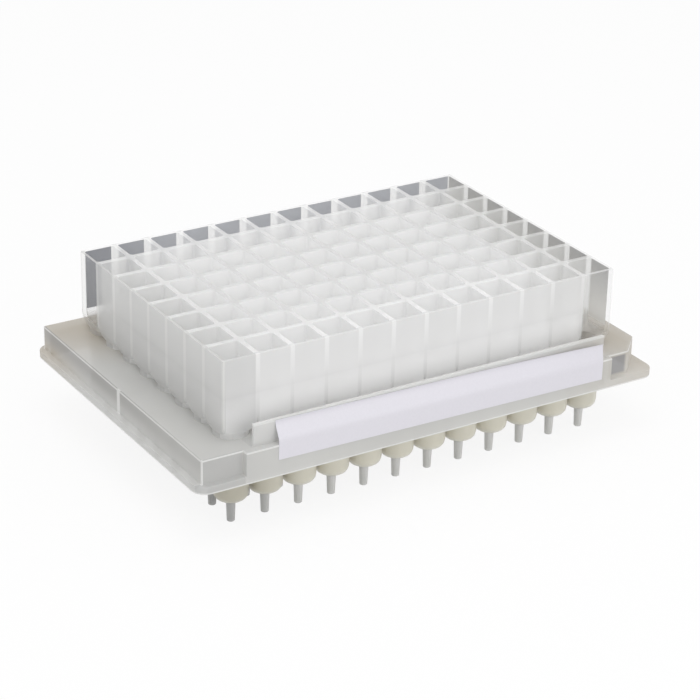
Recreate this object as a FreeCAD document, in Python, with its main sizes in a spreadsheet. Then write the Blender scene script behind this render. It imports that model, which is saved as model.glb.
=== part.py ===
import FreeCAD, Part
import Sketcher
import os
import re

# A solid phase extraction plate: 96 square wells moulded in one piece with their round
# barrels, drip nozzles and skirt, a sorbent disc pressed into every barrel, and a label.
# Millimetres. The origin is under the middle of the plate, at the level of the nozzle tips
# it stands on. +X runs along the long side, and the labelled side faces -Y.

Vector = FreeCAD.Vector
Rotation = FreeCAD.Rotation
Placement = FreeCAD.Placement

doc = FreeCAD.newDocument("extraction_plate")

# Driving dimensions

DIMENSIONS = {
    # standard footprint of a laboratory microplate
    "plate_length": 127.76,
    "plate_width": 85.48,
    "columns": 12,
    "rows": 8,
    "well_pitch": 9,
    # skirt
    "skirt_above_tips": 15,
    "skirt_height": 8,
    "skirt_wall": 1.2,
    "deck_thickness": 1.2,
    "flange_thickness": 2,
    "flange_ledge": 1.7,
    "flange_corner_radius": 3.4,
    "corner_cut": 6,
    "end_rib_thickness": 1,
    "end_rib_clearance": 2,
    # front wall that carries the label
    "label_wall_length": 101.8,
    "label_wall_off_centre": -0.7,
    "label_panel_length": 97.6,
    "label_panel_height": 5.6,
    "label_panel_setback": 1.9,
    "label_panel_thickness": 1,
    # square wells
    "well_opening": 7.7,
    "well_straight_depth": 15.4,
    "shoulder_height": 3.7,
    "shoulder_above_deck": 1.3,
    # round barrels below the wells, with flats in place of their curve
    "barrel_width": 8.4,
    "barrel_bore": 6.8,
    "barrel_floor": 1.2,
    # drip nozzles
    "nozzle_length": 5.8,
    "nozzle_root_width": 2.3,
    "nozzle_tip_width": 1.9,
    "nozzle_bore": 1,
    # sorbent discs
    "disc_thickness": 3,
    "disc_clearance": 0.02,
    # label, stuck on a little askew: heights are from the top of the label wall
    "label_length": 90.6,
    "label_off_centre": 2,
    "label_thickness": 0.12,
    "label_bottom_height": -4.35,
    "label_crease_height": 0.65,
    "label_landing_height": 4,
    "label_top_height": 4.75,
    "label_tilt_degrees": 0.8,
}

sizes = doc.addObject("Spreadsheet::Sheet", "sizes")
for line, (alias, value) in enumerate(DIMENSIONS.items(), start=1):
    sizes.set(f"A{line}", alias)
    sizes.set(f"B{line}", str(value))
    sizes.setAlias(f"B{line}", alias)

# Levels and half widths worked out from the driving dimensions

LEVELS = {
    "flange_top": "skirt_above_tips + flange_thickness",
    "deck_top": "skirt_above_tips + skirt_height",
    "deck_bottom": "deck_top - deck_thickness",
    "shoulder_bottom": "deck_top + shoulder_above_deck",
    "shoulder_top": "shoulder_bottom + shoulder_height",
    "rim": "shoulder_top + well_straight_depth",
    "disc_seat": "nozzle_length + barrel_floor",
    "wall_x": "plate_length / 2 - flange_ledge",
    "wall_y": "plate_width / 2 - flange_ledge",
    "front_y": "plate_width / 2",
    "panel_y": "front_y - label_panel_setback",
}
for line, (alias, working) in enumerate(LEVELS.items(), start=1):
    sizes.set(f"D{line}", alias)
    sizes.set(f"E{line}", f"={working}")
    sizes.setAlias(f"E{line}", alias)
doc.recompute()


def size(name):
    return float(getattr(sizes, name))


def formula(text):
    """The text with each size name pointed at the sheet."""
    for name in (*DIMENSIONS, *LEVELS):
        text = re.sub(rf"\b{name}\b", f"sizes.{name}", text)
    return text


def bind(feature, **properties):
    for name, text in properties.items():
        feature.setExpression(name, formula(text))


def stand_on(feature, level, turn=0):
    """Turn a feature about Z and bind its height to a level of the sheet."""
    feature.Placement = Placement(Vector(), Rotation(Vector(0, 0, 1), turn))
    feature.setExpression("Placement.Base.z", formula(level))


# Skirt: flange, walls, deck and the raised panel behind the label

skirt = doc.addObject("PartDesign::Body", "skirt")


def outline(body, name, level, corners, role="XY_Plane"):
    """A closed sketch, at a level above one of the body's planes, with bound corners."""
    sketch = body.newObject("Sketcher::SketchObject", name)
    plane = [feature for feature in body.Origin.OriginFeatures if feature.Role == role][0]
    sketch.AttachmentSupport = [(plane, "")]
    sketch.MapMode = "FlatFace"
    sketch.setExpression("AttachmentOffset.Base.z", formula(level))
    points = []
    for x_text, y_text in corners:
        x = float(sizes.evalExpression(formula(x_text)))
        y = float(sizes.evalExpression(formula(y_text)))
        points.append(Vector(x, y, 0))
    for index, point in enumerate(points):
        following = points[(index + 1) % len(points)]
        sketch.addGeometry(Part.LineSegment(point, following), False)
    for index in range(len(points)):
        following = (index + 1) % len(points)
        sketch.addConstraint(Sketcher.Constraint("Coincident", index, 2, following, 1))
    for index, (x_text, y_text) in enumerate(corners):
        for axis, text, value in (("X", x_text, points[index].x), ("Y", y_text, points[index].y)):
            place = Sketcher.Constraint(f"Distance{axis}", -1, 1, index, 1, value)
            number = sketch.addConstraint(place)
            sketch.setExpression(f"Constraints[{number}]", formula(text))
    return sketch


def pad(body, name, sketch, length):
    feature = body.newObject("PartDesign::Pad", name)
    feature.Profile = sketch
    bind(feature, Length=length)
    return feature


def pocket(body, name, sketch, length):
    """Cut upwards from the sketch, and make sure that it removes material."""
    doc.recompute()
    before = body.Shape.Volume
    feature = body.newObject("PartDesign::Pocket", name)
    feature.Profile = sketch
    feature.Reversed = True
    bind(feature, Length=length)
    doc.recompute()
    if body.Shape.Volume >= before:
        raise RuntimeError(f"{name} cuts nothing")


def rectangle(half_length, half_width):
    return [
        (f"-1 * ( {half_length} )", f"-1 * ( {half_width} )"),
        (half_length, f"-1 * ( {half_width} )"),
        (half_length, half_width),
        (f"-1 * ( {half_length} )", half_width),
    ]


def walled_outline(inset):
    """The skirt's outline, moved in by a wall, with its cut corner and its label wall."""
    side_x = f"wall_x - {inset}"
    side_y = f"wall_y - {inset}"
    cut = f"corner_cut - {inset} * ( 2 - sqrt(2) )"
    bulge_left = f"label_wall_off_centre - label_wall_length / 2 + {inset}"
    bulge_right = f"label_wall_off_centre + label_wall_length / 2 - {inset}"
    bulge_y = f"-1 * ( front_y - {inset} )"
    return [
        (f"-1 * ( {side_x} )", f"-1 * ( {side_y} )"),
        (bulge_left, f"-1 * ( {side_y} )"),
        (bulge_left, bulge_y),
        (bulge_right, bulge_y),
        (bulge_right, f"-1 * ( {side_y} )"),
        (f"{side_x} - ( {cut} )", f"-1 * ( {side_y} )"),
        (side_x, f"-1 * ( {side_y} ) + {cut}"),
        (side_x, side_y),
        (f"-1 * ( {side_x} )", side_y),
    ]


flange_outline = outline(
    skirt, "flange_outline", "skirt_above_tips", rectangle("plate_length / 2", "plate_width / 2")
)
flange = pad(skirt, "flange", flange_outline, "flange_thickness")
doc.recompute()
upright_edges = []
for number, edge in enumerate(flange.Shape.Edges, start=1):
    if edge.BoundBox.ZLength > size("flange_thickness") / 2:
        upright_edges.append(f"Edge{number}")
flange_corners = skirt.newObject("PartDesign::Fillet", "flange_corners")
flange_corners.Base = (flange, upright_edges)
bind(flange_corners, Radius="flange_corner_radius")

wall_outline = outline(skirt, "wall_outline", "skirt_above_tips", walled_outline("0"))
pad(skirt, "walls", wall_outline, "skirt_height")

panel_outline = outline(
    skirt,
    "label_panel_outline",
    "deck_bottom",
    [
        ("-1 * label_panel_length / 2", "-1 * panel_y"),
        ("label_panel_length / 2", "-1 * panel_y"),
        ("label_panel_length / 2", "-1 * panel_y + label_panel_thickness"),
        ("-1 * label_panel_length / 2", "-1 * panel_y + label_panel_thickness"),
    ],
)
pad(skirt, "label_panel", panel_outline, "deck_thickness + label_panel_height")

hollow_outline = outline(skirt, "hollow_outline", "skirt_above_tips", walled_outline("skirt_wall"))
pocket(skirt, "hollow", hollow_outline, "skirt_height - deck_thickness")

rib_outline = outline(
    skirt,
    "end_rib_outline",
    "skirt_above_tips + end_rib_clearance",
    rectangle("wall_x - skirt_wall / 2", "end_rib_thickness / 2"),
)
pad(skirt, "end_ribs", rib_outline, "skirt_height - deck_thickness - end_rib_clearance")

# The deck reaches in as far as the flats of the outermost barrels that face outwards

flat_reach = "barrel_width / 2 * tan(22.5deg)"
core_outline = outline(
    skirt,
    "core_outline",
    "skirt_above_tips",
    rectangle(
        f"( columns - 1 ) * well_pitch / 2 + {flat_reach}",
        f"( rows - 1 ) * well_pitch / 2 + {flat_reach}",
    ),
)
pocket(skirt, "core", core_outline, "skirt_height")

# One well, outside and inside, with flat faces in place of round walls


def box(name, length, width, bottom, top):
    """An upright box about the Z axis."""
    feature = doc.addObject("Part::Box", name)
    bind(feature, Length=length, Width=width, Height=f"{top} - ( {bottom} )")
    feature.setExpression("Placement.Base.x", formula(f"-1 * ( {length} ) / 2"))
    feature.setExpression("Placement.Base.y", formula(f"-1 * ( {width} ) / 2"))
    feature.setExpression("Placement.Base.z", formula(bottom))
    return feature


def prism(name, sides, width, bottom, top):
    """An upright regular prism, as wide as stated from flat to flat."""
    half_side = 180 / sides
    feature = doc.addObject("Part::Prism", name)
    feature.Polygon = sides
    bind(feature, Circumradius=f"{width} / 2 / cos({half_side}deg)", Height=f"{top} - ( {bottom} )")
    stand_on(feature, bottom, half_side)
    return feature


def tapered_prism(name, bottom, top, flats):
    """Where wedges cross: each pair of flats has its turn, and its widths at both ends."""
    wedges = []
    for turn, bottom_width, top_width in flats:
        wedge = doc.addObject("Part::Wedge", f"{name}_flats_{turn}")
        bind(
            wedge,
            Xmin=f"-1 * ( {bottom_width} ) / 2",
            Xmax=f"( {bottom_width} ) / 2",
            X2min=f"-1 * ( {top_width} ) / 2",
            X2max=f"( {top_width} ) / 2",
            Zmin="-1 * well_pitch",
            Zmax="well_pitch",
            Z2min="-1 * well_pitch",
            Z2max="well_pitch",
            Ymin="0",
            Ymax=f"{top} - ( {bottom} )",
        )
        upright = Rotation(Vector(1, 0, 0), 90)
        wedge.Placement = Placement(Vector(), Rotation(Vector(0, 0, 1), turn) * upright)
        wedge.setExpression("Placement.Base.z", formula(bottom))
        wedges.append(wedge)
    feature = doc.addObject("Part::MultiCommon", name)
    feature.Shapes = wedges
    return feature


def shoulder(name, bottom, bottom_width, top, top_width):
    """The step from a square to eight flats, each flat as wide apart as the barrel's."""
    diagonal = f"{top_width} * sqrt(2)"
    flats = [
        (0, bottom_width, top_width),
        (90, bottom_width, top_width),
        (45, bottom_width, diagonal),
        (135, bottom_width, diagonal),
    ]
    return tapered_prism(name, bottom, top, flats)


def fused(name, shapes):
    feature = doc.addObject("Part::MultiFuse", name)
    feature.Shapes = shapes
    feature.Refine = True
    return feature


def at_every_well(source):
    """Copies of one well's shape, one on each point of the grid."""
    copies = []
    for column in range(int(size("columns"))):
        for row in range(int(size("rows"))):
            copies.append(source.Shape.translated(well_place(column, row)))
    return copies


def well_place(column, row):
    x = (column - (size("columns") - 1) / 2) * size("well_pitch")
    y = ((size("rows") - 1) / 2 - row) * size("well_pitch")
    return Vector(x, y, 0)


OVERRUN = "1"
nozzle_flats = []
for turn in (0, 60, 120):
    nozzle_flats.append((turn, "nozzle_tip_width", "nozzle_root_width"))
one_outside = fused(
    "one_outside",
    [
        shoulder("outer_shoulder", "shoulder_bottom", "barrel_width", "shoulder_top", "well_pitch"),
        prism("barrel", 8, "barrel_width", "nozzle_length", "shoulder_bottom"),
        tapered_prism("nozzle", "0", "nozzle_length", nozzle_flats),
    ],
)
one_inside = fused(
    "one_inside",
    [
        box("pocket", "well_opening", "well_opening", "shoulder_top", f"rim + {OVERRUN}"),
        shoulder("inner_shoulder", "shoulder_bottom", "barrel_bore", "shoulder_top", "well_opening"),
        prism("barrel_hollow", 8, "barrel_bore", "disc_seat", "shoulder_bottom"),
        prism("nozzle_hole", 4, "nozzle_bore", f"-1 * {OVERRUN}", "disc_seat"),
    ],
)
doc.recompute()

# The moulding: block, wells and skirt, with the insides of the wells taken out

block = box("block", "columns * well_pitch", "rows * well_pitch", "shoulder_top", "rim")
doc.recompute()
solid_wells = doc.addObject("Part::Feature", "solid_wells")
solid_wells.Shape = block.Shape.fuse(at_every_well(one_outside))
well_insides = doc.addObject("Part::Feature", "well_insides")
well_insides.Shape = Part.makeCompound(at_every_well(one_inside))
moulding = fused("moulding", [solid_wells, skirt])
well_plate = doc.addObject("Part::Cut", "well_plate")
well_plate.Base = moulding
well_plate.Tool = well_insides
doc.recompute()
nodes = [well_plate]

# Sorbent discs, one on the floor of each barrel, in one group for each column of wells

disc = doc.addObject("Part::Prism", "disc")
disc.Polygon = 6
bind(disc, Circumradius="barrel_bore / 2 - disc_clearance", Height="disc_thickness")
stand_on(disc, "disc_seat")
doc.recompute()
for column in range(int(size("columns"))):
    discs = []
    for row in range(int(size("rows"))):
        discs.append(disc.Shape.translated(well_place(column, row)))
    group = doc.addObject("Part::Feature", f"sorbent_discs_column_{column + 1:02d}")
    group.Shape = Part.makeCompound(discs)
    nodes.append(group)

# Label: flat on the front wall, then bent back over the ledge to lie on the raised panel

label = doc.addObject("PartDesign::Body", "label")
label_faces = [
    ("front_y", "label_bottom_height"),
    ("front_y", "label_crease_height"),
    ("panel_y", "label_landing_height"),
    ("panel_y", "label_top_height"),
]
label_corners = []
for y_text, height in label_faces:
    label_corners.append((f"-1 * ( {y_text} )", f"deck_top + {height}"))
for y_text, height in reversed(label_faces):
    label_corners.append((f"-1 * ( {y_text} ) - label_thickness", f"deck_top + {height}"))
label_profile = outline(
    label, "label_profile", "label_off_centre - label_length / 2", label_corners, "YZ_Plane"
)
pad(label, "label_strip", label_profile, "label_length")
label_centre = Vector(
    size("label_off_centre"), -size("front_y"), size("deck_top") + size("label_crease_height")
)
askew = Rotation(Vector(0, 1, 0), size("label_tilt_degrees"))
label.Placement = Placement(Vector(), askew, label_centre)
nodes.append(label)

# Checks and export

doc.recompute()
for feature in doc.Objects:
    if "Invalid" in feature.State or "Error" in feature.State:
        raise RuntimeError(f"{feature.Name} failed: {feature.State}")
for node in nodes:
    if node.Shape.isNull() or not node.Shape.isValid():
        raise RuntimeError(f"{node.Name} has no valid shape")

os.makedirs("parts", exist_ok=True)
for node in nodes:
    node.Label = node.Name
    node.Shape.exportStep(f"parts/{node.Label}.step")
    print(node.Label, len(node.Shape.Solids), "solids", len(node.Shape.Faces), "faces",
          round(node.Shape.Volume, 2), "mm3")
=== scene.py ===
import math
import bmesh
import bpy
from mathutils import Matrix, Vector


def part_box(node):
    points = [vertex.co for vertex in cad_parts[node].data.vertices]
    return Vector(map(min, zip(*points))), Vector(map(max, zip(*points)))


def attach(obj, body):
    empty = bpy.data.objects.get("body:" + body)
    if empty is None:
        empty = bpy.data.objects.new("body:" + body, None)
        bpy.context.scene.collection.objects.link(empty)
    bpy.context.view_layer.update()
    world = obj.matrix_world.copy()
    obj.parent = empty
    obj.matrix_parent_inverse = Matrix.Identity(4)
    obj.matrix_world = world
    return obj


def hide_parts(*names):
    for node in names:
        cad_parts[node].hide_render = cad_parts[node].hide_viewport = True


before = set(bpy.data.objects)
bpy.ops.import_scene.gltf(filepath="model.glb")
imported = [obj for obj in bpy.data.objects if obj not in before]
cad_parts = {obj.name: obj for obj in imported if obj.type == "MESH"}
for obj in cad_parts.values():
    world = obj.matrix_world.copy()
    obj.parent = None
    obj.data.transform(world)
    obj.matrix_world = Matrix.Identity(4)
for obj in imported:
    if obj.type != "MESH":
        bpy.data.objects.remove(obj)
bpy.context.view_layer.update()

# Wells. Twelve by eight square cups share one grid of walls, and each narrows through a rounded
# shoulder to a round barrel and a drip nozzle. The whole grid is injection moulded in natural
# polypropylene round polished core pins, so its edges are slightly rounded and its faces smooth.

MM = 0.001
COLUMNS = 12
ROWS = 8
PITCH = 9 * MM
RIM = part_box("well_plate")[1][2]
SHOULDER_TOP = RIM - 15.4 * MM
SHOULDER_BOTTOM = SHOULDER_TOP - 3.7 * MM
OPENING = 7.7 * MM
OPENING_CORNER = 0.7 * MM
BARREL_RADIUS = 4.2 * MM
BARREL_BORE_RADIUS = 3.4 * MM
BARREL_BOTTOM = 5.8 * MM
BARREL_FLOOR = 7 * MM
BARREL_ROUNDING = 2.1 * MM
NOZZLE_ROOT_RADIUS = 1.15 * MM
NOZZLE_TIP_RADIUS = 0.95 * MM
NOZZLE_BORE_RADIUS = 0.5 * MM
EDGE = 0.12 * MM
CORNER_STEPS = 5
SHOULDER_STEPS = 5
ROUNDING_STEPS = 4
SAME_POINT = 0.001 * MM


def rounded_square(half_width, corner, height):
    """Points of a square with round corners, anticlockwise. A corner as large as the half
    width gives a circle, and none gives a plain square: the doubles are merged later."""
    points = []
    for quadrant in range(4):
        start = quadrant * math.pi / 2
        centre = Vector((half_width - corner, half_width - corner))
        centre.rotate(Matrix.Rotation(start, 2))
        for step in range(CORNER_STEPS + 1):
            angle = start + step / CORNER_STEPS * math.pi / 2
            x = centre.x + corner * math.cos(angle)
            y = centre.y + corner * math.sin(angle)
            points.append((x, y, height))
    return points


def round_ring(radius, height):
    return rounded_square(radius, radius, height)


def shoulder_rings(top_half, top_corner, bottom_radius):
    """The square wall turns into the round barrel: the corners come in faster and faster."""
    rings = []
    for step in range(1, SHOULDER_STEPS + 1):
        down = math.sin(step / SHOULDER_STEPS * math.pi / 2)
        share = 1 - math.sqrt(max(0, 1 - down * down))
        height = SHOULDER_TOP + (SHOULDER_BOTTOM - SHOULDER_TOP) * down
        half = top_half + (bottom_radius - top_half) * share
        corner = top_corner + (bottom_radius - top_corner) * share
        rings.append(rounded_square(half, corner, height))
    return rings


def skin(rings):
    """A mesh through rings of points, each joined to the next."""
    form = bmesh.new()
    loops = [[form.verts.new(point) for point in ring] for ring in rings]
    for one, other in zip(loops, loops[1:]):
        for index in range(len(one)):
            following = (index + 1) % len(one)
            form.faces.new((one[index], one[following], other[following], other[index]))
    bmesh.ops.remove_doubles(form, verts=form.verts, dist=SAME_POINT)
    return form


def as_object(name, form):
    mesh = bpy.data.meshes.new(name)
    form.to_mesh(mesh)
    form.free()
    made = bpy.data.objects.new(name, mesh)
    bpy.context.collection.objects.link(made)
    return made


half_opening = OPENING / 2
well_rings = [
    rounded_square(PITCH / 2, 0, RIM),
    rounded_square(half_opening + EDGE, OPENING_CORNER + EDGE, RIM),
    rounded_square(half_opening, OPENING_CORNER, RIM - EDGE),
    rounded_square(half_opening, OPENING_CORNER, SHOULDER_TOP),
    *shoulder_rings(half_opening, OPENING_CORNER, BARREL_BORE_RADIUS),
    round_ring(BARREL_BORE_RADIUS, BARREL_FLOOR),
    round_ring(NOZZLE_BORE_RADIUS, BARREL_FLOOR),
    round_ring(NOZZLE_BORE_RADIUS, EDGE),
    round_ring(NOZZLE_BORE_RADIUS + EDGE, 0),
    round_ring(NOZZLE_TIP_RADIUS - EDGE, 0),
    round_ring(NOZZLE_TIP_RADIUS, EDGE),
    round_ring(NOZZLE_ROOT_RADIUS, BARREL_BOTTOM - 3 * EDGE),
    round_ring(NOZZLE_ROOT_RADIUS + 3 * EDGE, BARREL_BOTTOM),
]
for step in range(ROUNDING_STEPS + 1):
    angle = step / ROUNDING_STEPS * math.pi / 2
    radius = BARREL_RADIUS - BARREL_ROUNDING * (1 - math.sin(angle))
    height = BARREL_BOTTOM + BARREL_ROUNDING * (1 - math.cos(angle))
    well_rings.append(round_ring(radius, height))
outer_shoulder = shoulder_rings(PITCH / 2, 0, BARREL_RADIUS)
well_rings += reversed(outer_shoulder)
well_rings.append(rounded_square(PITCH / 2, 0, SHOULDER_TOP))
wells = as_object("wells", skin(well_rings))


def repeat_tree():
    """Copies of a piece at every well: a grid of points, an instance on each, all made real."""
    tree = bpy.data.node_groups.new("one_at_every_well", "GeometryNodeTree")
    sockets = {}
    for name, kind in (
        ("Piece", "NodeSocketGeometry"),
        ("Columns", "NodeSocketInt"),
        ("Rows", "NodeSocketInt"),
        ("Length", "NodeSocketFloat"),
        ("Width", "NodeSocketFloat"),
        ("Material", "NodeSocketMaterial"),
    ):
        socket = tree.interface.new_socket(name, in_out="INPUT", socket_type=kind)
        sockets[name] = socket.identifier
    tree.interface.new_socket("Pieces", in_out="OUTPUT", socket_type="NodeSocketGeometry")
    inputs = tree.nodes.new("NodeGroupInput")
    grid = tree.nodes.new("GeometryNodeMeshGrid")
    place = tree.nodes.new("GeometryNodeInstanceOnPoints")
    real = tree.nodes.new("GeometryNodeRealizeInstances")
    finish = tree.nodes.new("GeometryNodeSetMaterial")
    outputs = tree.nodes.new("NodeGroupOutput")
    for source, target in (
        (inputs.outputs["Length"], grid.inputs["Size X"]),
        (inputs.outputs["Width"], grid.inputs["Size Y"]),
        (inputs.outputs["Columns"], grid.inputs["Vertices X"]),
        (inputs.outputs["Rows"], grid.inputs["Vertices Y"]),
        (grid.outputs["Mesh"], place.inputs["Points"]),
        (inputs.outputs["Piece"], place.inputs["Instance"]),
        (place.outputs["Instances"], real.inputs["Geometry"]),
        (real.outputs["Geometry"], finish.inputs["Geometry"]),
        (inputs.outputs["Material"], finish.inputs["Material"]),
        (finish.outputs["Geometry"], outputs.inputs["Pieces"]),
    ):
        tree.links.new(source, target)
    return tree, sockets


at_every_well, well_sockets = repeat_tree()


def bake(piece):
    """Turn what a piece's modifiers make into its own plain mesh."""
    bpy.context.view_layer.update()
    evaluated = piece.evaluated_get(bpy.context.evaluated_depsgraph_get())
    mesh = bpy.data.meshes.new_from_object(evaluated)
    piece.modifiers.clear()
    piece.data = mesh


def repeat(piece, material):
    """Set the piece at every well, in one material."""
    piece.data.materials.append(material)
    modifier = piece.modifiers.new("at_every_well", "NODES")
    modifier.node_group = at_every_well
    values = {
        "Columns": COLUMNS,
        "Rows": ROWS,
        "Length": (COLUMNS - 1) * PITCH,
        "Width": (ROWS - 1) * PITCH,
        "Material": material,
    }
    for name, value in values.items():
        modifier[well_sockets[name]] = value
    bake(piece)


def linear(hex_colour):
    """An sRGB hex colour as the linear colour that shaders take."""
    channels = []
    for start in (0, 2, 4):
        share = int(hex_colour[start:start + 2], 16) / 255
        channels.append(share / 12.92 if share <= 0.04045 else ((share + 0.055) / 1.055) ** 2.4)
    return (*channels, 1)


def node(tree, kind, settings=None, *ordered, **named):
    """Add a shader node. Inputs come in the order of its live sockets, or by name. Each is a
    value, a hex colour, a socket, or a node whose first live output is linked."""
    made = tree.nodes.new(f"ShaderNode{kind}")
    for name, value in (settings or {}).items():
        setattr(made, name, value)
    live = [socket for socket in made.inputs if socket.enabled]
    given = list(zip(live, ordered))
    given += [(made.inputs[name.replace("_", " ")], value) for name, value in named.items()]
    for socket, value in given:
        if isinstance(value, bpy.types.Node):
            value = next(output for output in value.outputs if output.enabled)
        if isinstance(value, bpy.types.NodeSocket):
            tree.links.new(value, socket)
        else:
            socket.default_value = linear(value) if isinstance(value, str) else value
    return made


# settings that many nodes share
TIMES = {"operation": "MULTIPLY"}
PLUS = {"operation": "ADD"}
MINUS = {"operation": "SUBTRACT"}
POWER = {"operation": "POWER"}
ROOT = {"operation": "SQRT"}
LARGER = {"operation": "MAXIMUM"}
SMALLER = {"operation": "MINIMUM"}
SIZE_OF = {"operation": "ABSOLUTE"}
BACK_AND_FORTH = {"operation": "PINGPONG"}
OVER = {"operation": "GREATER_THAN"}
UNDER = {"operation": "LESS_THAN"}
SOFT_STEP = {"interpolation_type": "SMOOTHSTEP"}
IN_COLOUR = {"data_type": "RGBA"}


def chain(tree, settings, *values):
    """Some values joined two by two: their product with TIMES, their maximum with LARGER."""
    result = values[0]
    for value in values[1:]:
        result = node(tree, "Math", settings, result, value)
    return result


def new_material(name):
    material = bpy.data.materials.new(name)
    material.use_nodes = True
    material.node_tree.nodes.clear()
    return material, material.node_tree


PLASTIC_ROUGHNESS = 0.34
PLASTIC_IOR = 1.49
FLOW_MARKS_PER_METRE = 90
FLOW_DETAIL = 3
FLOW_STRENGTH = 0.15
FLOW_HEIGHT = 0.02 * MM


def polypropylene(material, place, colour, fill, glow_share):
    """Natural polypropylene, injection moulded: a share of it is milky, with a soft gloss and
    faint flow marks about 11 mm apart, and the rest lets light straight through. Some of the
    milky share glows with the light from behind."""
    tree = material.node_tree
    flow = node(tree, "TexNoise", Vector=place, Scale=FLOW_MARKS_PER_METRE, Detail=FLOW_DETAIL)
    bump = node(tree, "Bump", Strength=FLOW_STRENGTH, Distance=FLOW_HEIGHT, Height=flow)
    gloss = node(
        tree, "BsdfPrincipled",
        Base_Color=colour, Roughness=PLASTIC_ROUGHNESS, IOR=PLASTIC_IOR, Normal=bump,
    )
    glow = node(tree, "BsdfTranslucent", Color=colour, Normal=bump)
    body = node(tree, "MixShader", {}, glow_share, gloss, glow)
    clear = node(tree, "BsdfTransparent", Color="FCFCFC")
    surface = node(tree, "MixShader", {}, fill, clear, body)
    node(tree, "OutputMaterial", Surface=surface)


BLOCK_HALF_LENGTH = COLUMNS * PITCH / 2
BLOCK_HALF_WIDTH = ROWS * PITCH / 2
OUTER_WALL_REACH = 0.75 * MM
SHADE_LINING_START = 0.4 * MM
POST_CORE = 0.35 * MM
POST_REACH = 0.7 * MM
CLEAR_DEPTH = 1 * MM
MILKY_DEPTH = 22 * MM
FADE = 1 * MM
WHITE_TOP_DEPTH = 0.4
CLEARER_CORNERS_BY = 3 * PITCH
END_START = 4 * PITCH
END_FULL = 6 * PITCH
LEFT_END_SHARE = 0.4
FIRST_COLUMN_END = 5 * PITCH
CREAM_FULL = BARREL_FLOOR + 8 * MM

# how milky each place is, from 0, clear, to 1, white
SIDE_FILL = 0.6
CORNER_FILL = 0.12
MIDDLE_FILL = 0.95
POST_FILL = 0.5
TOP_FILL = 0.7
LOW_FILL = 0.82
SHOULDER_FILL = 0.95
BARREL_FILL = 0.85
SHADE_LINING_FILL = 0.9
FAR_FACE_SHARE = 0.15

# how much of the milky share glows
SIDE_GLOW = 0.15
MIDDLE_GLOW = 0.5
LOW_GLOW = 0.4
BARREL_GLOW = 0.2
BARREL_START = 0.3


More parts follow.
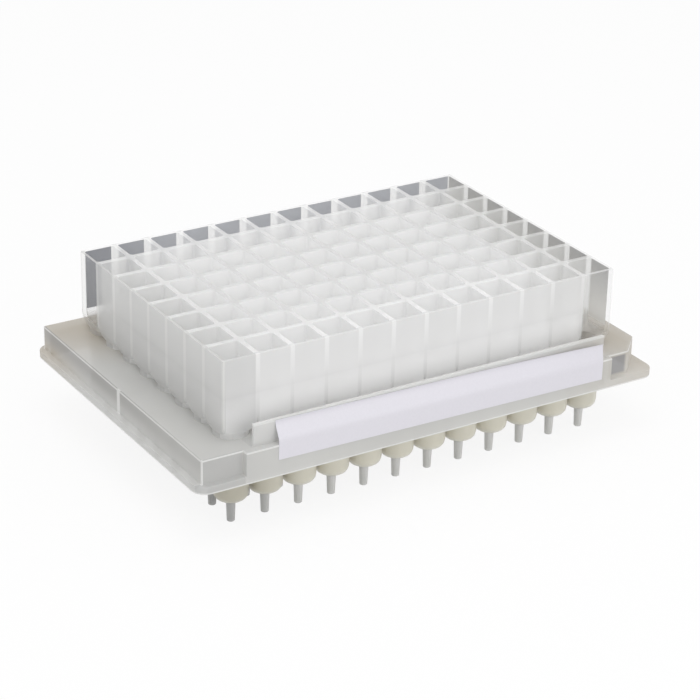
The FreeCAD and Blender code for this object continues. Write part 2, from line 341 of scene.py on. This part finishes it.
def wells_plastic():
    """The outer walls are single and nearly clear, and their side in the wells is painted dark as
    shade. Towards the middle, wall behind wall makes the block milky, as do the posts where walls
    cross and the thick lower ends. Painted shade makes both ends of the block a little greyer, and
    darkens the left wall, the front wall's top and first well, the middle rims and the clear corner
    wells low down; painted light brightens the front wall's lower part. The barrels are cream, with
    painted shade towards the left end, as on the nozzles."""
    material, tree = new_material("polypropylene_natural_wells")
    place = node(tree, "TexCoord").outputs["Object"]
    x, y, z = node(tree, "SeparateXYZ", {}, place).outputs

    # how far a point is from the block's sides, from a post and from its well's axis
    inset_x = node(tree, "Math", MINUS, BLOCK_HALF_LENGTH, node(tree, "Math", SIZE_OF, x))
    inset_y = node(tree, "Math", MINUS, BLOCK_HALF_WIDTH, node(tree, "Math", SIZE_OF, y))
    inset = node(tree, "Math", SMALLER, inset_x, inset_y)
    depth = node(tree, "MapRange", SOFT_STEP, inset, CLEAR_DEPTH, MILKY_DEPTH)
    from_wall_x = node(tree, "Math", BACK_AND_FORTH, x, PITCH / 2)
    from_wall_y = node(tree, "Math", BACK_AND_FORTH, y, PITCH / 2)
    from_post = node(tree, "Math", LARGER, from_wall_x, from_wall_y)
    post = node(tree, "MapRange", SOFT_STEP, from_post, POST_CORE, POST_REACH, 1, 0)
    between_posts = node(tree, "Math", MINUS, 1, post)
    from_axis_x = node(tree, "Math", MINUS, PITCH / 2, from_wall_x)
    from_axis_y = node(tree, "Math", MINUS, PITCH / 2, from_wall_y)
    square_x = node(tree, "Math", POWER, from_axis_x, 2)
    square_y = node(tree, "Math", POWER, from_axis_y, 2)
    from_axis = node(tree, "Math", ROOT, node(tree, "Math", PLUS, square_x, square_y))
    outside = node(tree, "Math", OVER, from_axis, (BARREL_RADIUS + BARREL_BORE_RADIUS) / 2)

    # the block's four outer walls, and three of them by themselves
    outer_wall = node(tree, "Math", UNDER, inset, OUTER_WALL_REACH)
    left_wall = node(tree, "Math", UNDER, x, OUTER_WALL_REACH - BLOCK_HALF_LENGTH)
    right_wall = node(tree, "Math", OVER, x, BLOCK_HALF_LENGTH - OUTER_WALL_REACH)
    front_wall = node(tree, "Math", UNDER, y, OUTER_WALL_REACH - BLOCK_HALF_WIDTH)

    # corner wells have the fewest walls behind them, most of all at the right and the back
    corner_well = node(
        tree, "MapRange", SOFT_STEP, node(tree, "Math", LARGER, inset_x, inset_y), PITCH, PITCH - FADE
    )
    right_or_back = node(
        tree, "MapRange", SOFT_STEP, node(tree, "Math", LARGER, x, y), 0, CLEARER_CORNERS_BY
    )
    clear_corner = chain(tree, TIMES, corner_well, right_or_back)

    # the parts of a well from its rim down
    top = node(tree, "MapRange", SOFT_STEP, z, RIM - 2 * EDGE, RIM - EDGE)
    top = chain(tree, TIMES, top, node(tree, "MapRange", SOFT_STEP, depth, 0, WHITE_TOP_DEPTH, 1, 0))
    # painted shade: the rims in the middle are a little darker, and keep this white over the greyer
    # ends
    shaded_middle_rim = chain(tree, TIMES, node(tree, "Math", OVER, z, RIM - 1.5 * EDGE), depth)
    low = node(tree, "MapRange", SOFT_STEP, z, RIM - 2 * FADE, SHOULDER_TOP + 2 * FADE)
    low = chain(tree, TIMES, low, node(tree, "Math", MINUS, 1, clear_corner), LOW_FILL)
    shoulder = node(tree, "MapRange", SOFT_STEP, z, SHOULDER_TOP, SHOULDER_BOTTOM, 0, SHOULDER_FILL)
    low = chain(tree, LARGER, low, shoulder)
    barrel = node(tree, "MapRange", SOFT_STEP, z, SHOULDER_BOTTOM, CREAM_FULL)
    flat_bottom = node(tree, "MapRange", SOFT_STEP, z, BARREL_FLOOR, BARREL_FLOOR - FADE / 2)
    nozzle = node(tree, "MapRange", SOFT_STEP, z, BARREL_BOTTOM + FADE / 2, BARREL_BOTTOM)

    # a wall is milky once: on the face that the light meets first, not on its far face
    near_face = node(tree, "Math", MINUS, 1, node(tree, "NewGeometry").outputs["Backfacing"])
    once = node(tree, "MapRange", SOFT_STEP, near_face, 0, 1, FAR_FACE_SHARE, 1)

    # painted shade: a well's side of an outer wall is painted dark, except for shadow and diffuse
    # rays, so light still comes in through it
    path = node(tree, "LightPath").outputs
    lighting = node(tree, "Math", LARGER, path["Is Shadow Ray"], path["Is Diffuse Ray"])
    shade_lining = chain(
        tree, TIMES, outer_wall,
        node(tree, "Math", OVER, inset, SHADE_LINING_START),
        node(tree, "Math", OVER, z, SHOULDER_TOP),
        node(tree, "Math", UNDER, z, RIM - 2 * EDGE),
        near_face,
        node(tree, "Math", MINUS, 1, lighting),
    )

    # colours that change along or down the plate
    # painted shade: the linings are darker towards the left end
    from_left = node(tree, "MapRange", SOFT_STEP, x, -BLOCK_HALF_LENGTH, -3 * PITCH)
    shade_lining_colour = node(tree, "Mix", IN_COLOUR, from_left, "7F8188", "A6A8AE")
    # painted shade: the right wall's lining is darker towards the rim
    down = node(tree, "MapRange", SOFT_STEP, z, RIM, SHOULDER_TOP)
    right_shade_lining = node(tree, "Mix", IN_COLOUR, down, "A8A7A5", "E6E4DE")
    shade_lining_colour = node(tree, "Mix", IN_COLOUR, right_wall, shade_lining_colour, right_shade_lining)
    # painted shade: both ends of the block, the right end most, are greyer, except on the outer walls
    right_end = node(tree, "MapRange", SOFT_STEP, x, END_START, END_FULL)
    left_end = node(tree, "MapRange", SOFT_STEP, x, -END_START, -END_FULL, 0, LEFT_END_SHARE)
    at_end = node(tree, "Math", LARGER, right_end, left_end)
    at_end = chain(tree, TIMES, at_end, node(tree, "Math", MINUS, 1, outer_wall))
    # painted shade: the posts are darker on the left wall
    post_colour = node(tree, "Mix", IN_COLOUR, left_wall, "F2F2F2", "E6E6E4")
    # painted shade on the front wall's top and on its first well, and painted light on its lower part
    past_first = node(
        tree, "MapRange", SOFT_STEP, x, -1.01 * FIRST_COLUMN_END, -0.99 * FIRST_COLUMN_END
    )
    front_top_shade = node(tree, "Mix", IN_COLOUR, past_first, "D6D6D6", "E3E3E3")
    front_low_light = node(tree, "Mix", IN_COLOUR, past_first, "EAEAEA", "FDFDFD")
    up = node(tree, "MapRange", SOFT_STEP, z, SHOULDER_TOP, RIM)
    front_light_and_shade = node(tree, "Mix", IN_COLOUR, up, front_low_light, front_top_shade)
    # painted shade: the cream barrels and the nozzles are darker towards the left end
    to_middle = node(tree, "MapRange", SOFT_STEP, x, -BLOCK_HALF_LENGTH, -BLOCK_HALF_LENGTH / 2)
    cream = node(tree, "Mix", IN_COLOUR, to_middle, "C3BFB1", "E2DFD2")
    nozzle_colour = node(tree, "Mix", IN_COLOUR, to_middle, "B6B6B5", "DEDEDC")
    # painted shade: the clear corner wells are darker from their shoulders down
    shaded_well_floor = node(tree, "MapRange", SOFT_STEP, z, SHOULDER_TOP + FADE, SHOULDER_TOP)

    # each place's colour goes over those before it, on a base painted greyer at the ends as shade
    colour = node(tree, "Mix", IN_COLOUR, at_end, "FBFBFB", "DDDDDB")
    for share, place_colour in (
        (chain(tree, TIMES, outer_wall, post), post_colour),
        (shaded_middle_rim, "F4F4F4"),
        (chain(tree, TIMES, front_wall, between_posts), front_light_and_shade),
        # painted shade: the left wall is darker between its posts
        (chain(tree, TIMES, left_wall, between_posts), "D9D9D8"),
        (chain(tree, TIMES, clear_corner, shaded_well_floor), "D2CFCA"),
        (chain(tree, TIMES, barrel, node(tree, "Math", LARGER, outside, flat_bottom)), cream),
        (nozzle, nozzle_colour),
        (shade_lining, shade_lining_colour),
    ):
        colour = node(tree, "Mix", IN_COLOUR, share, colour, place_colour)

    side_fill = node(tree, "MapRange", SOFT_STEP, clear_corner, 0, 1, SIDE_FILL, CORNER_FILL)
    web_fill = node(tree, "MapRange", SOFT_STEP, depth, 0, 1, SIDE_FILL, MIDDLE_FILL)
    fill = chain(
        tree, LARGER,
        node(tree, "Mix", {}, outer_wall, web_fill, side_fill),
        chain(tree, TIMES, post, POST_FILL),
        chain(tree, TIMES, top, TOP_FILL),
        low,
        chain(tree, TIMES, barrel, BARREL_FILL),
        chain(tree, TIMES, shade_lining, SHADE_LINING_FILL),
    )
    deep_glow = node(tree, "MapRange", SOFT_STEP, depth, 0, 1, SIDE_GLOW, MIDDLE_GLOW)
    low_glow = node(tree, "MapRange", SOFT_STEP, barrel, 0, BARREL_START, LOW_GLOW, BARREL_GLOW)
    glow_share = chain(tree, LARGER, deep_glow, chain(tree, TIMES, low, low_glow))
    polypropylene(material, place, colour, chain(tree, TIMES, fill, once), glow_share)
    return material


well_walls = wells_plastic()
repeat(wells, well_walls)
form = bmesh.new()
form.from_mesh(wells.data)
bmesh.ops.remove_doubles(form, verts=form.verts, dist=SAME_POINT)
open_edges = [edge for edge in form.edges if edge.is_boundary]
bmesh.ops.bridge_loops(form, edges=open_edges)

# the block's top edges and upright corners get a small moulding radius
SQUARE_EDGE = math.radians(60)
outer_edges = []
for edge in form.edges:
    if len(edge.link_faces) != 2 or edge.calc_face_angle(0) < SQUARE_EDGE:
        continue
    at_side = [
        abs(abs(vert.co.x) - BLOCK_HALF_LENGTH) < EDGE or abs(abs(vert.co.y) - BLOCK_HALF_WIDTH) < EDGE
        for vert in edge.verts
    ]
    if all(at_side) and all(vert.co.z > SHOULDER_TOP - EDGE for vert in edge.verts):
        low = min(vert.co.z for vert in edge.verts)
        high = max(vert.co.z for vert in edge.verts)
        if high - low > EDGE or low > RIM - EDGE:
            outer_edges.append(edge)
bmesh.ops.bevel(form, geom=outer_edges, offset=2 * EDGE, segments=2, profile=0.5, affect="EDGES")
form.to_mesh(wells.data)
form.free()

# Skirt. A deck joins the outer wells to walls that end in a flange, on the standard footprint of
# laboratory plates. One corner is cut to show which way round the plate goes, and the front wall
# stands out as a flat field for a label, with a low panel behind it. It is of one moulding with
# the wells, with small radii on its edges and a rib under the deck at each end.

SKIRT_BOTTOM = 15 * MM
DECK_TOP = 23 * MM
FLANGE_THICKNESS = 2 * MM
FLANGE_RADIUS = 3.4 * MM
FLANGE_LEDGE = 1.7 * MM
WALL = 1.2 * MM
CORNER_CUT = 6 * MM
LABEL_WALL_LENGTH = 101.8 * MM
LABEL_WALL_OFF_CENTRE = -0.7 * MM
PANEL_LENGTH = 97.6 * MM
PANEL_HEIGHT = 5.6 * MM
PANEL_SETBACK = 1.9 * MM
PANEL_THICKNESS = 1 * MM
RIB_THICKNESS = 1 * MM
RIB_CLEARANCE = 2 * MM
MOULD_RADIUS = 0.35 * MM
OVERLAP = 0.4 * MM
FLANGE_CORNER_STEPS = 8
BARREL_CLEARANCE = 0.02 * MM
plate_corner = Vector(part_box("well_plate")[1])
half_length = plate_corner.x
half_width = plate_corner.y


def slab(name, outline, bottom, top):
    """A closed upright prism over an outline of plan points."""
    form = bmesh.new()
    base = form.faces.new([form.verts.new((x, y, bottom)) for x, y in outline])
    raised = bmesh.ops.extrude_face_region(form, geom=[base])
    lifted = [item for item in raised["geom"] if isinstance(item, bmesh.types.BMVert)]
    bmesh.ops.translate(form, verts=lifted, vec=(0, 0, top - bottom))
    bmesh.ops.recalc_face_normals(form, faces=form.faces)
    return as_object(name, form)


def rectangle(low_x, low_y, high_x, high_y):
    return [(low_x, low_y), (high_x, low_y), (high_x, high_y), (low_x, high_y)]


def wall_outline(inset):
    """The skirt's plan, moved in by a wall, with its cut corner and its label wall."""
    side_x = half_length - FLANGE_LEDGE - inset
    side_y = half_width - FLANGE_LEDGE - inset
    cut = CORNER_CUT - inset * (2 - math.sqrt(2))
    bulge_left = LABEL_WALL_OFF_CENTRE - LABEL_WALL_LENGTH / 2 + inset
    bulge_right = LABEL_WALL_OFF_CENTRE + LABEL_WALL_LENGTH / 2 - inset
    bulge_y = half_width - inset
    return [
        (-side_x, -side_y),
        (bulge_left, -side_y),
        (bulge_left, -bulge_y),
        (bulge_right, -bulge_y),
        (bulge_right, -side_y),
        (side_x - cut, -side_y),
        (side_x, -side_y + cut),
        (side_x, side_y),
        (-side_x, side_y),
    ]


def combine(piece, tool, operation):
    """Add a tool to a piece, or cut it out, for good."""
    modifier = piece.modifiers.new("combine", "BOOLEAN")
    modifier.operation = operation
    modifier.solver = "EXACT"
    modifier.object = tool
    bake(piece)
    bpy.data.objects.remove(tool)


flange_points = []
for quadrant in range(4):
    start = quadrant * math.pi / 2
    sign_x = 1 if quadrant in (0, 3) else -1
    sign_y = 1 if quadrant in (0, 1) else -1
    for step in range(FLANGE_CORNER_STEPS + 1):
        angle = start + step / FLANGE_CORNER_STEPS * math.pi / 2
        flange_points.append((
            sign_x * (half_length - FLANGE_RADIUS) + FLANGE_RADIUS * math.cos(angle),
            sign_y * (half_width - FLANGE_RADIUS) + FLANGE_RADIUS * math.sin(angle),
        ))
skirt = slab("skirt", flange_points, SKIRT_BOTTOM, SKIRT_BOTTOM + FLANGE_THICKNESS)
combine(skirt, slab("walls", wall_outline(0), SKIRT_BOTTOM + OVERLAP, DECK_TOP), "UNION")
panel_front = -half_width + PANEL_SETBACK
panel = rectangle(-PANEL_LENGTH / 2, panel_front, PANEL_LENGTH / 2, panel_front + PANEL_THICKNESS)
combine(skirt, slab("panel", panel, DECK_TOP - OVERLAP, DECK_TOP + PANEL_HEIGHT), "UNION")
rounding = skirt.modifiers.new("mould_radius", "BEVEL")
rounding.width = MOULD_RADIUS
rounding.segments = 2
rounding.limit_method = "ANGLE"
rounding.angle_limit = math.radians(40)
bake(skirt)
combine(
    skirt, slab("hollow", wall_outline(WALL), SKIRT_BOTTOM - OVERLAP, DECK_TOP - WALL), "DIFFERENCE"
)

# the ribs run under the whole deck, and the core and the barrels then clear it for the wells
rib = rectangle(
    -half_length + FLANGE_LEDGE + WALL / 2, -RIB_THICKNESS / 2,
    half_length - FLANGE_LEDGE - WALL / 2, RIB_THICKNESS / 2,
)
combine(skirt, slab("ribs", rib, SKIRT_BOTTOM + RIB_CLEARANCE, DECK_TOP - WALL / 2), "UNION")
flat_reach = BARREL_RADIUS * math.tan(math.pi / 8)
core_x = (COLUMNS - 1) * PITCH / 2 + flat_reach
core_y = (ROWS - 1) * PITCH / 2 + flat_reach
core = rectangle(-core_x, -core_y, core_x, core_y)
combine(skirt, slab("core", core, SKIRT_BOTTOM - OVERLAP, DECK_TOP + OVERLAP), "DIFFERENCE")
hole_radius = BARREL_RADIUS - BARREL_CLEARANCE
ring_points = len(round_ring(hole_radius, 0))
barrels = as_object("barrels", skin([
    [(0, 0, SKIRT_BOTTOM - OVERLAP)] * ring_points,
    round_ring(hole_radius, SKIRT_BOTTOM - OVERLAP),
    round_ring(hole_radius, DECK_TOP + OVERLAP),
    [(0, 0, DECK_TOP + OVERLAP)] * ring_points,
]))
repeat(barrels, well_walls)
combine(skirt, barrels, "DIFFERENCE")

LIGHT_LINE = 0.5 * MM
LIGHT_SHARE = 0.85
TOP_FACE = 0.02 * MM
CLOUDS_PER_METRE = 40
CLOUD_DETAIL = 2
WARM_LEAN = 0.6
WARM_START = -25 * MM
WARM_FULL = 5 * MM
FRONT_DARKNESS = 0.35
BACK_DARKNESS = 0.9
THIN_CLOUD_FILL = 0.72
THICK_CLOUD_FILL = 0.78
PANEL_FILL_SHARE = 0.8
SKIRT_GLOW = 0.15


def skirt_plastic():
    """The skirt and deck are one wall thick, so they look greyer and half clear. Their edges and the
    ribs behind the end walls carry painted highlights, and painted shade darkens the walls under the
    deck."""
    material, tree = new_material("polypropylene_natural_skirt")
    place = node(tree, "TexCoord").outputs["Object"]
    x, y, z = node(tree, "SeparateXYZ", {}, place).outputs
    out_x = node(tree, "Math", SIZE_OF, x)
    out_y = node(tree, "Math", SIZE_OF, y)
    side_x = half_length - FLANGE_LEDGE
    side_y = half_width - FLANGE_LEDGE
    bulge_start = LABEL_WALL_OFF_CENTRE - LABEL_WALL_LENGTH / 2
    bulge_end = LABEL_WALL_OFF_CENTRE + LABEL_WALL_LENGTH / 2
    flange_top = SKIRT_BOTTOM + FLANGE_THICKNESS
    panel_top = DECK_TOP + PANEL_HEIGHT

    # painted highlights along the edges, and above the flange at the ends' ribs and corners
    deck_edge = chain(
        tree, TIMES,
        node(tree, "MapRange", SOFT_STEP, z, DECK_TOP - LIGHT_LINE, DECK_TOP - MOULD_RADIUS),
        node(tree, "MapRange", SOFT_STEP, z, DECK_TOP - TOP_FACE, DECK_TOP - 3 * TOP_FACE),
    )
    flange_edge = node(
        tree, "MapRange", SOFT_STEP, z, SKIRT_BOTTOM + LIGHT_LINE, SKIRT_BOTTOM + MOULD_RADIUS
    )
    panel_edge = node(
        tree, "MapRange", SOFT_STEP, z, panel_top - 1.2 * LIGHT_LINE, panel_top - MOULD_RADIUS
    )
    at_end = node(tree, "Math", OVER, out_x, side_x - MOULD_RADIUS)
    rib_line = node(tree, "MapRange", SOFT_STEP, out_y, RIB_THICKNESS, RIB_THICKNESS / 2)
    corner_line = node(
        tree, "MapRange", SOFT_STEP, out_y, side_y - 1.2 * MOULD_RADIUS, side_y - MOULD_RADIUS
    )
    end_line = chain(
        tree, TIMES, at_end,
        node(tree, "Math", OVER, z, flange_top),
        node(tree, "Math", LARGER, rib_line, corner_line),
    )
    painted_highlight = chain(tree, LARGER, deck_edge, panel_edge, flange_edge, end_line)

    # the panel behind the label is whiter, and the plate gets darker and warmer towards its back and
    # right
    at_panel = chain(
        tree, TIMES,
        node(tree, "Math", OVER, z, DECK_TOP - TOP_FACE),
        node(tree, "MapRange", SOFT_STEP, out_x, PANEL_LENGTH / 2 + FADE, PANEL_LENGTH / 2),
        node(tree, "Math", UNDER, y, -BLOCK_HALF_WIDTH),
    )
    away = node(tree, "Math", PLUS, node(tree, "Math", TIMES, x, WARM_LEAN), y)
    warm = node(tree, "MapRange", SOFT_STEP, away, WARM_START, WARM_FULL)

    # painted shade under the deck: on the end walls and on both sides of the label's field
    shade_behind_end = chain(
        tree, TIMES, at_end,
        node(tree, "MapRange", SOFT_STEP, z, flange_top, DECK_TOP - 1.5 * FADE),
        node(
            tree, "MapRange", SOFT_STEP, y, -half_width, half_width / 2, FRONT_DARKNESS, BACK_DARKNESS
        ),
    )
    # painted shade on the front wall between the label's field and the cut corner, and left of the
    # field
    patch_middle = (bulge_end + side_x - CORNER_CUT) / 2
    patch_half = (side_x - CORNER_CUT - bulge_end) / 2
    from_patch = node(tree, "Math", SIZE_OF, node(tree, "Math", MINUS, x, patch_middle))
    on_front = node(tree, "Math", UNDER, y, MOULD_RADIUS - side_y)
    shade_patch = chain(
        tree, TIMES,
        node(
            tree, "MapRange", SOFT_STEP, from_patch, patch_half - 0.2 * FADE, patch_half - 1.2 * FADE
        ),
        on_front,
        node(tree, "MapRange", SOFT_STEP, z, flange_top, flange_top + FADE),
        node(tree, "MapRange", SOFT_STEP, z, DECK_TOP - FADE / 2, DECK_TOP - FADE),
    )
    left_of_field = node(
        tree, "MapRange", SOFT_STEP, x, bulge_start, bulge_start - FADE / 2, 0, FRONT_DARKNESS
    )
    shaded_recess = chain(tree, TIMES, on_front, left_of_field)

    # each place's colour goes over those before it
    clouds = node(
        tree, "TexNoise", Vector=place, Scale=CLOUDS_PER_METRE, Detail=CLOUD_DETAIL
    ).outputs["Fac"]
    colour = node(tree, "Mix", IN_COLOUR, clouds, "D2D2D0", "DADAD8")
    for share, place_colour in (
        (at_panel, "E4E4E3"),
        (warm, "CBC4B8"),
        # painted shade behind the end walls
        (shade_behind_end, "A8A6A4"),
        # painted shade beside the label's field
        (node(tree, "Math", LARGER, shade_patch, shaded_recess), "9C9C9E"),
        # painted highlights
        (node(tree, "Math", TIMES, painted_highlight, LIGHT_SHARE), "F8F8F7"),
    ):
        colour = node(tree, "Mix", IN_COLOUR, share, colour, place_colour)
    cloudy_fill = node(
        tree, "MapRange", SOFT_STEP, clouds, 0.2, 0.8, THIN_CLOUD_FILL, THICK_CLOUD_FILL
    )
    panel_share = node(tree, "MapRange", SOFT_STEP, at_panel, 0, 1, 1, PANEL_FILL_SHARE)
    fill = node(tree, "Math", TIMES, cloudy_fill, panel_share)
    polypropylene(material, place, colour, fill, SKIRT_GLOW)
    return material


WELLS_SLOT = 0
SKIRT_SLOT = 1
for part, slot in ((wells, WELLS_SLOT), (skirt, SKIRT_SLOT)):
    part.data.polygons.foreach_set("material_index", [slot] * len(part.data.polygons))
moulding = bmesh.new()
moulding.from_mesh(wells.data)
moulding.from_mesh(skirt.data)
moulded_plate = as_object("moulded_plate", moulding)
moulded_plate.data.materials.append(well_walls)
moulded_plate.data.materials.append(skirt_plastic())
bpy.data.objects.remove(wells)
bpy.data.objects.remove(skirt)


def smooth(piece, degrees):
    """Shade round stretches smooth and keep edges past this angle sharp."""
    piece.data.shade_smooth()
    piece.data.set_sharp_from_angle(angle=math.radians(degrees))


smooth(moulded_plate, degrees=35)
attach(moulded_plate, "root")
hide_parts("well_plate")

# Sorbent discs. A disc of particle-loaded membrane, punched out and pressed onto the floor of
# each barrel, holds the packing that gives the barrels their cream colour.

DISC_RADIUS = BARREL_BORE_RADIUS - 0.04 * MM
DISC_THICKNESS = 3 * MM
DISC_EDGE = 0.25 * MM
FIBRE_SPACING = 0.4 * MM
FIBRE_HEIGHT = 0.05 * MM


def membrane():
    """Pressed fibres loaded with fine particles: dull cream felt, a little darker in its pores."""
    material, tree = new_material("sorbent_membrane_pressed")
    place = node(tree, "TexCoord").outputs["Object"]
    fibres = node(tree, "TexNoise", Vector=place, Scale=1 / FIBRE_SPACING, Detail=4)
    colour = node(tree, "Mix", IN_COLOUR, fibres, "D8CFAE", "E9E3CB")
    bump = node(tree, "Bump", Strength=0.5, Distance=FIBRE_HEIGHT, Height=fibres)
    surface = node(tree, "BsdfPrincipled", Base_Color=colour, Roughness=0.85, Normal=bump)
    node(tree, "OutputMaterial", Surface=surface)
    return material


disc_bottom = BARREL_FLOOR
disc_top = BARREL_FLOOR + DISC_THICKNESS
disc_points = len(round_ring(DISC_RADIUS, 0))
discs = as_object("sorbent_discs", skin([
    [(0, 0, disc_bottom)] * disc_points,
    round_ring(DISC_RADIUS - DISC_EDGE, disc_bottom),
    round_ring(DISC_RADIUS, disc_bottom + DISC_EDGE),
    round_ring(DISC_RADIUS, disc_top - DISC_EDGE),
    round_ring(DISC_RADIUS - DISC_EDGE, disc_top),
    [(0, 0, disc_top)] * disc_points,
]))
repeat(discs, membrane())
smooth(discs, degrees=50)
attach(discs, "root")
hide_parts(*[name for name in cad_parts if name.startswith("sorbent_discs")])

# Label. A self-adhesive strip of matt white film, pressed on by hand a little askew: its lower
# half is flat on the front wall, and its upper half leans back over the ledge to the panel, but
# springs off it towards the right end.

LABEL_THICKNESS = 0.12 * MM
LABEL_LENGTH = 90.6 * MM
LABEL_OFF_CENTRE = 2 * MM
LABEL_TILT = math.radians(0.8)
LABEL_BOTTOM = DECK_TOP - 4.35 * MM
LABEL_CREASE = DECK_TOP + 0.65 * MM
LABEL_LANDING = DECK_TOP + 4 * MM
LABEL_TOP = DECK_TOP + 4.75 * MM
LABEL_LIFT = 1.3 * MM
LABEL_COLUMNS = 48
BEND_REACH = 0.8 * MM
BEND_STEPS = 4
GRAINS_PER_METRE = 1800
GRAIN_HEIGHT = 0.01 * MM


def label_film():
    """Printable film with a matt coat: cool white and even, with a grain of about half a
    millimetre that only takes the shine off it."""
    material, tree = new_material("label_film_white")
    place = node(tree, "TexCoord").outputs["Object"]
    grain = node(tree, "TexNoise", Vector=place, Scale=GRAINS_PER_METRE, Detail=2)
    colour = node(tree, "Mix", IN_COLOUR, grain, "D2D0D7", "D8D6DD")
    bump = node(tree, "Bump", Strength=0.2, Distance=GRAIN_HEIGHT, Height=grain)
    surface = node(tree, "BsdfPrincipled", Base_Color=colour, Roughness=0.5, Normal=bump)
    node(tree, "OutputMaterial", Surface=surface)
    return material


def label_profile(lift):
    """Points of the strip's outer face from bottom to top, with soft bends. Its upper half can
    stand off the panel."""
    wall_y = -half_width - LABEL_THICKNESS
    panel_y = wall_y + PANEL_SETBACK - lift
    corners = [
        Vector((wall_y, LABEL_BOTTOM)),
        Vector((wall_y, LABEL_CREASE)),
        Vector((panel_y, LABEL_LANDING)),
        Vector((panel_y, LABEL_TOP)),
    ]
    points = [corners[0]]
    for before, corner, after in zip(corners, corners[1:], corners[2:]):
        start = corner + (before - corner).normalized() * BEND_REACH
        end = corner + (after - corner).normalized() * BEND_REACH
        for step in range(BEND_STEPS + 1):
            share = step / BEND_STEPS
            points.append(start.lerp(corner, share).lerp(corner.lerp(end, share), share)[:])
    points.append(corners[-1])
    return points


label_form = bmesh.new()
label_grid = []
turn = Matrix.Rotation(LABEL_TILT, 3, "Y")
pivot = Vector((LABEL_OFF_CENTRE, -half_width, LABEL_CREASE))
for column in range(LABEL_COLUMNS + 1):
    along = column / LABEL_COLUMNS
    x = LABEL_OFF_CENTRE + LABEL_LENGTH * (along - 0.5)
    lift = LABEL_LIFT * max(0, 2 * along - 1) ** 2
    line = []
    for y, z in label_profile(lift):
        place = pivot + turn @ (Vector((x, y, z)) - pivot)
        line.append(label_form.verts.new(place))
    label_grid.append(line)
for one, other in zip(label_grid, label_grid[1:]):
    for index in range(len(one) - 1):
        label_form.faces.new((one[index], other[index], other[index + 1], one[index + 1]))
label = as_object("label_strip", label_form)
backing = label.modifiers.new("film_thickness", "SOLIDIFY")
backing.thickness = LABEL_THICKNESS
backing.offset = -1
bake(label)
label.data.materials.append(label_film())
smooth(label, degrees=40)
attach(label, "root")
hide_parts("label")

# Table. A plain white sweep under the plate, which shows as clean white and keeps a faint shadow.

TABLE_HALF_SIZE = 4.0
TABLE_THICKNESS = 5 * MM
WHITE_SHARE = 0.88


def seen(tree):
    """One where the camera sees a surface, by itself, in gloss or through clear plastic."""
    path = node(tree, "LightPath").outputs
    return chain(
        tree, LARGER, path["Is Camera Ray"], path["Is Glossy Ray"], path["Is Transmission Ray"]
    )


def white_sweep():
    """Matt white paper: where it is seen, most of it is plain white, and the rest takes shadow."""
    material, tree = new_material("studio_white")
    matt = node(tree, "BsdfDiffuse", Color="F4F4F4")
    white = node(tree, "Emission", Color="FFFFFF", Strength=1)
    share = node(tree, "Math", TIMES, seen(tree), WHITE_SHARE)
    node(tree, "OutputMaterial", Surface=node(tree, "MixShader", {}, share, matt, white))
    return material


table_outline = rectangle(-TABLE_HALF_SIZE, -TABLE_HALF_SIZE, TABLE_HALF_SIZE, TABLE_HALF_SIZE)
table = slab("table", table_outline, -TABLE_THICKNESS, 0)
table.data.materials.append(white_sweep())

# Light. A soft box overhead, a little to the left and in front, a weaker one low in front and to
# the right, and an even white room round them, which is plain white where it is seen.

LAMP_AIM = Vector((0, 0, 20 * MM))
ROOM_STRENGTH = 0.7


def soft_box(name, place, size, power):
    light = bpy.data.lights.new(name, "AREA")
    light.shape = "SQUARE"
    light.size = size
    light.energy = power
    lamp = bpy.data.objects.new(name, light)
    lamp.location = place
    aim = LAMP_AIM - Vector(place)
    lamp.rotation_euler = aim.to_track_quat("-Z", "Y").to_euler()
    bpy.context.collection.objects.link(lamp)


soft_box("overhead_box", place=(-0.2, -0.2, 0.8), size=0.7, power=2.6)
soft_box("front_box", place=(0.2, -0.9, 0.35), size=0.6, power=1.8)

room = bpy.data.worlds.new("white_room")
room.use_nodes = True
room.node_tree.nodes.clear()
even = node(room.node_tree, "Background", Color="FFFFFF", Strength=ROOM_STRENGTH)
white = node(room.node_tree, "Background", Color="FFFFFF", Strength=1)
sky = node(room.node_tree, "MixShader", {}, seen(room.node_tree), even, white)
node(room.node_tree, "OutputWorld", Surface=sky)
bpy.context.scene.world = room

# Light has to pass through many milky walls to reach the middle of the block.
paths = bpy.context.scene.cycles
paths.max_bounces = 24
paths.diffuse_bounces = 16
paths.transparent_max_bounces = 48

# Camera. It looks down at the plate's front left corner, through a long lens.

CAMERA_PLACE = Vector((-289.7, -466.5, 277.9)) * MM
CAMERA_AIM = Vector((1.2, -0.7, 19.1)) * MM
CAMERA_ROLL = math.radians(1.24)
LENS_MM = 126.3
SENSOR_MM = 36
NEAREST_SEEN = 50 * MM
lens = bpy.data.cameras.new("view_camera")
lens.sensor_width = SENSOR_MM
lens.lens = LENS_MM
lens.clip_start = NEAREST_SEEN
camera = bpy.data.objects.new("view_camera", lens)
sight = (CAMERA_AIM - CAMERA_PLACE).to_track_quat("-Z", "Y").to_matrix()
camera.matrix_world = Matrix.Translation(CAMERA_PLACE) @ (
    sight @ Matrix.Rotation(CAMERA_ROLL, 3, "Z")
).to_4x4()
bpy.context.collection.objects.link(camera)
bpy.context.scene.camera = camera
bpy.context.scene.view_settings.view_transform = "Standard"
